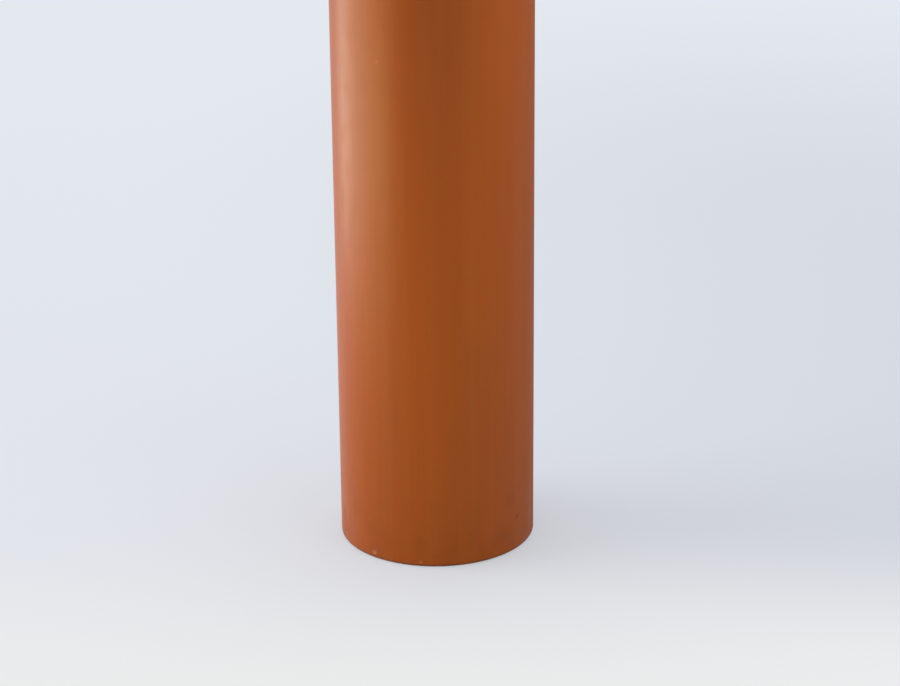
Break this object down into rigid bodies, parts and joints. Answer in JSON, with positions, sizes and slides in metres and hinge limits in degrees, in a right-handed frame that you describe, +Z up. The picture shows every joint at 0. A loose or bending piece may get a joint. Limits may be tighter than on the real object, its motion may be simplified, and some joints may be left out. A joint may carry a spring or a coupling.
{
  "type": "clay drain pipe",
  "caption": "Straight plain-ended clay drain pipe: a fired terracotta tube with a clear bore and rounded end edges, standing on one end; carries foul or surface water below ground.",
  "frame": {"origin": "centre of the foot, on the surface that the pipe stands on", "axes": "+Z up along the pipe's axis; the pipe is round, so +X and +Y are free"},
  "size_m": [0.1309, 0.131, 1.25],
  "materials": {
    "fired_clay": "unglazed vitrified terracotta with a smooth satin skin"
  },
  "bodies": {
    "root": {"pipe": "fired_clay"}
  },
  "joints": []
}
